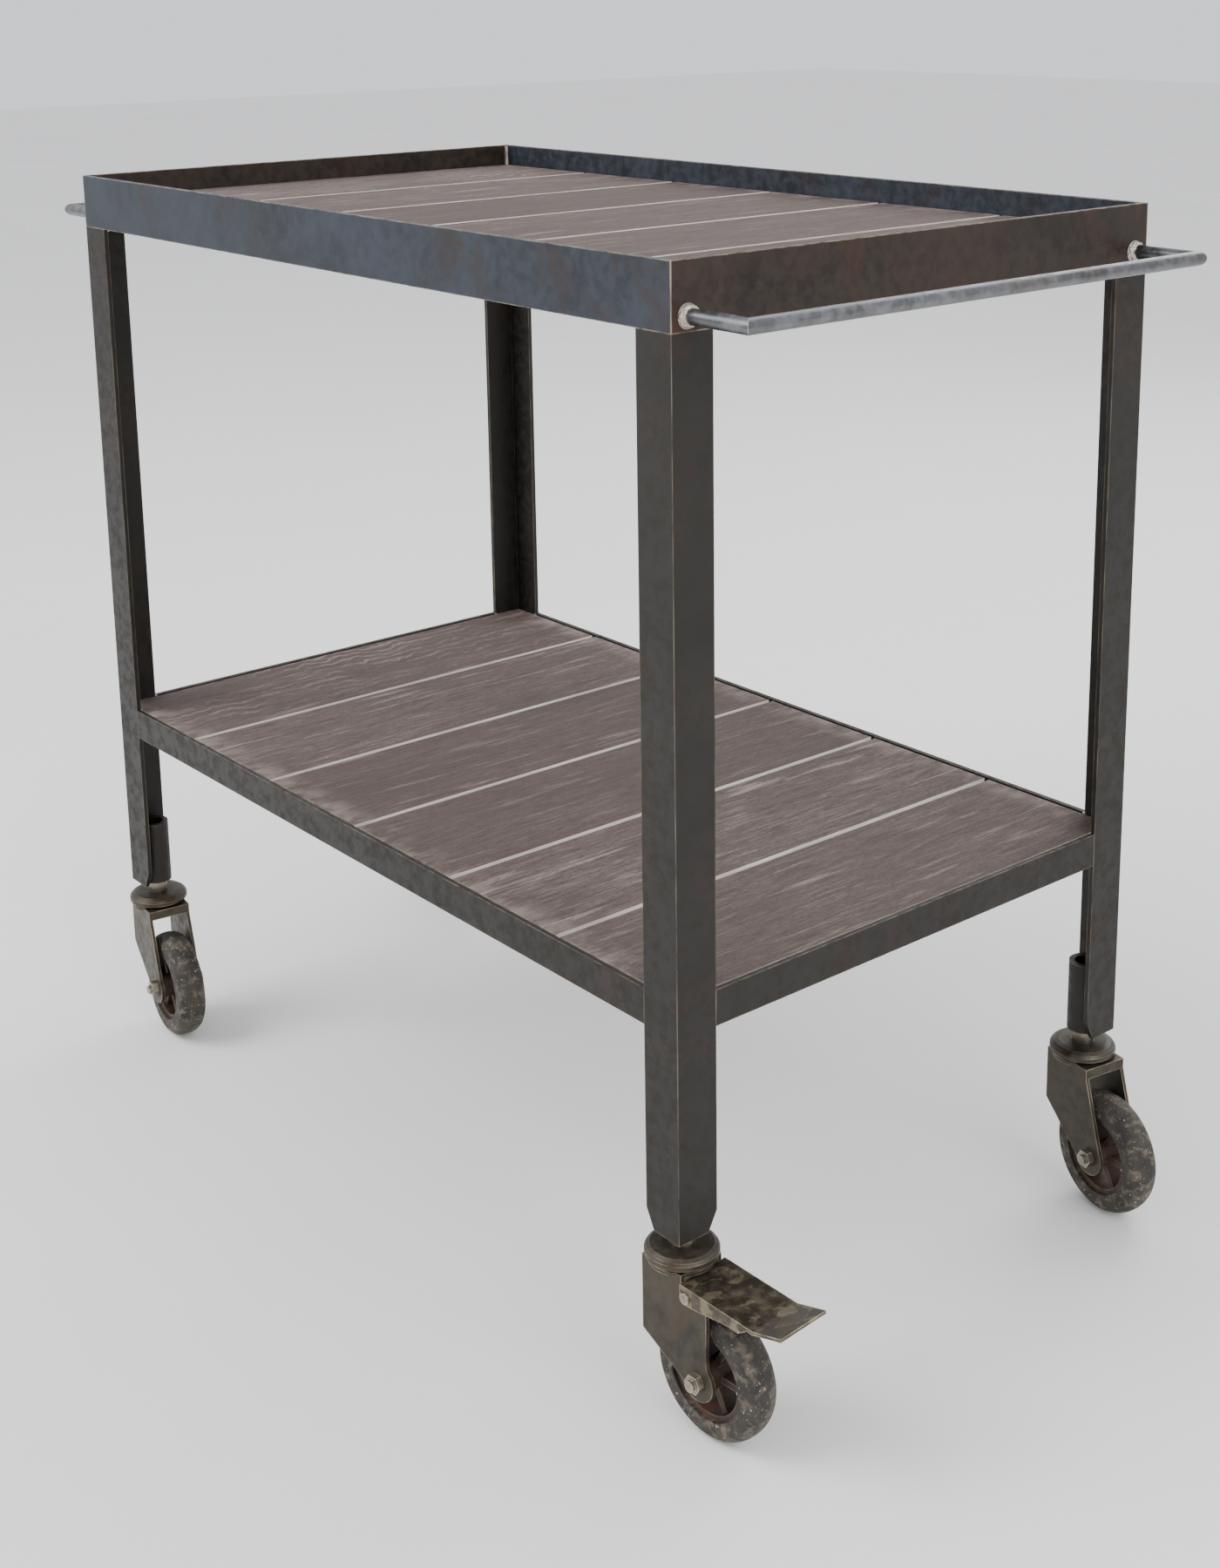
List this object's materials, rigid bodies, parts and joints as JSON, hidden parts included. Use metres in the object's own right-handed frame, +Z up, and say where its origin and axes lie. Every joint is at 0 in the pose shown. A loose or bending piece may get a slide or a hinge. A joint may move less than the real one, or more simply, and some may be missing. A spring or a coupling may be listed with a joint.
{
  "type": "bar cart",
  "caption": "Two-deck bar cart in welded steel angle with six weathered boards a deck, a rod handle at each end and four swivelling casters, two of them braked.",
  "frame": {"origin": "on the floor under the middle of the cart's plan", "axes": "+X along the length, +Y across the width towards the back, +Z up"},
  "size_m": [1.0182, 0.5108, 0.83],
  "materials": {
    "frame_steel": "dark oiled raw steel",
    "rod_steel": "handled bare steel rod",
    "weld_bead": "rough bright weld metal",
    "screw_steel": "dull screw heads",
    "bright_steel": "worn bright steel",
    "caster_steel": "dark brown worn steel",
    "wheel_iron": "brown cast wheel centre",
    "tyre_rubber": "dusty worn rubber",
    "board_wood": "weathered sawn boards"
  },
  "bodies": {
    "frame": {"leg_front_left": "frame_steel", "leg_front_right": "frame_steel", "leg_back_right": "frame_steel", "leg_back_left": "frame_steel", "tray_rail_front": "frame_steel", "tray_rail_back": "frame_steel", "tray_rail_left": "frame_steel", "tray_rail_right": "frame_steel", "shelf_rail_front": "frame_steel", "shelf_rail_back": "frame_steel", "shelf_rail_left": "frame_steel", "shelf_rail_right": "frame_steel", "tray_board_1": "board_wood", "tray_board_2": "board_wood", "tray_board_3": "board_wood", "tray_board_4": "board_wood", "tray_board_5": "board_wood", "tray_board_6": "board_wood", "shelf_board_1": "board_wood", "shelf_board_2": "board_wood", "shelf_board_3": "board_wood", "shelf_board_4": "board_wood", "shelf_board_5": "board_wood", "shelf_board_6": "board_wood", "handle_left": "rod_steel", "handle_right": "rod_steel", "handle_welds": "weld_bead", "frame_welds": "weld_bead", "deck_screws": "screw_steel", "stem_tubes": "frame_steel", "caster_stems": "bright_steel", "swivel_balls": "bright_steel", "bearing_cap_front_left": "caster_steel", "bearing_cap_front_right": "caster_steel", "bearing_cap_back_right": "caster_steel", "bearing_cap_back_left": "caster_steel"},
    "swivel_front_left": {"fork_front_left": "caster_steel", "axle_bolt_front_left": "bright_steel", "axle_sleeve_front_left": "bright_steel"},
    "wheel_front_left": {"wheel_core_front_left": "wheel_iron", "tyre_front_left": "tyre_rubber"},
    "swivel_front_right": {"fork_front_right": "caster_steel", "axle_bolt_front_right": "bright_steel", "axle_sleeve_front_right": "bright_steel"},
    "wheel_front_right": {"wheel_core_front_right": "wheel_iron", "tyre_front_right": "tyre_rubber"},
    "pedal_front_right": {"brake_pedal_front_right": "caster_steel", "pedal_pin_front_right": "bright_steel"},
    "swivel_back_right": {"fork_back_right": "caster_steel", "axle_bolt_back_right": "bright_steel", "axle_sleeve_back_right": "bright_steel"},
    "wheel_back_right": {"wheel_core_back_right": "wheel_iron", "tyre_back_right": "tyre_rubber"},
    "swivel_back_left": {"fork_back_left": "caster_steel", "axle_bolt_back_left": "bright_steel", "axle_sleeve_back_left": "bright_steel"},
    "wheel_back_left": {"wheel_core_back_left": "wheel_iron", "tyre_back_left": "tyre_rubber"},
    "pedal_back_left": {"brake_pedal_back_left": "caster_steel", "pedal_pin_back_left": "bright_steel"}
  },
  "joints": [
    {"name": "swivel_front_left", "type": "hinge", "parent": "frame", "child": "swivel_front_left", "pos_m": [-0.39245, -0.21995, 0.1265], "axis": [0, 0, 1], "continuous": true},
    {"name": "wheel_spin_front_left", "type": "hinge", "parent": "swivel_front_left", "child": "wheel_front_left", "pos_m": [-0.3587, -0.22409, 0.05], "axis": [0.1219, 0.9925, 0], "continuous": true},
    {"name": "swivel_front_right", "type": "hinge", "parent": "frame", "child": "swivel_front_right", "pos_m": [0.39245, -0.21995, 0.1265], "axis": [0, 0, 1], "continuous": true},
    {"name": "wheel_spin_front_right", "type": "hinge", "parent": "swivel_front_right", "child": "wheel_front_right", "pos_m": [0.42637, -0.21758, 0.05], "axis": [-0.0698, 0.9976, 0], "continuous": true},
    {"name": "brake_front_right", "type": "hinge", "parent": "swivel_front_right", "child": "pedal_front_right", "pos_m": [0.41839, -0.21814, 0.113], "axis": [-0.0698, 0.9976, 0], "range_deg": [0, 8]},
    {"name": "swivel_back_right", "type": "hinge", "parent": "frame", "child": "swivel_back_right", "pos_m": [0.39245, 0.21995, 0.1265], "axis": [0, 0, 1], "continuous": true},
    {"name": "wheel_spin_back_right", "type": "hinge", "parent": "swivel_back_right", "child": "wheel_back_right", "pos_m": [0.42593, 0.21405, 0.05], "axis": [0.1736, 0.9848, 0], "continuous": true},
    {"name": "swivel_back_left", "type": "hinge", "parent": "frame", "child": "swivel_back_left", "pos_m": [-0.39245, 0.21995, 0.1265], "axis": [0, 0, 1], "continuous": true},
    {"name": "wheel_spin_back_left", "type": "hinge", "parent": "swivel_back_left", "child": "wheel_back_left", "pos_m": [-0.42612, 0.22468, 0.05], "axis": [-0.1392, -0.9903, 0], "continuous": true},
    {"name": "brake_back_left", "type": "hinge", "parent": "swivel_back_left", "child": "pedal_back_left", "pos_m": [-0.4182, 0.22357, 0.113], "axis": [-0.1392, -0.9903, 0], "range_deg": [0, 8]}
  ]
}
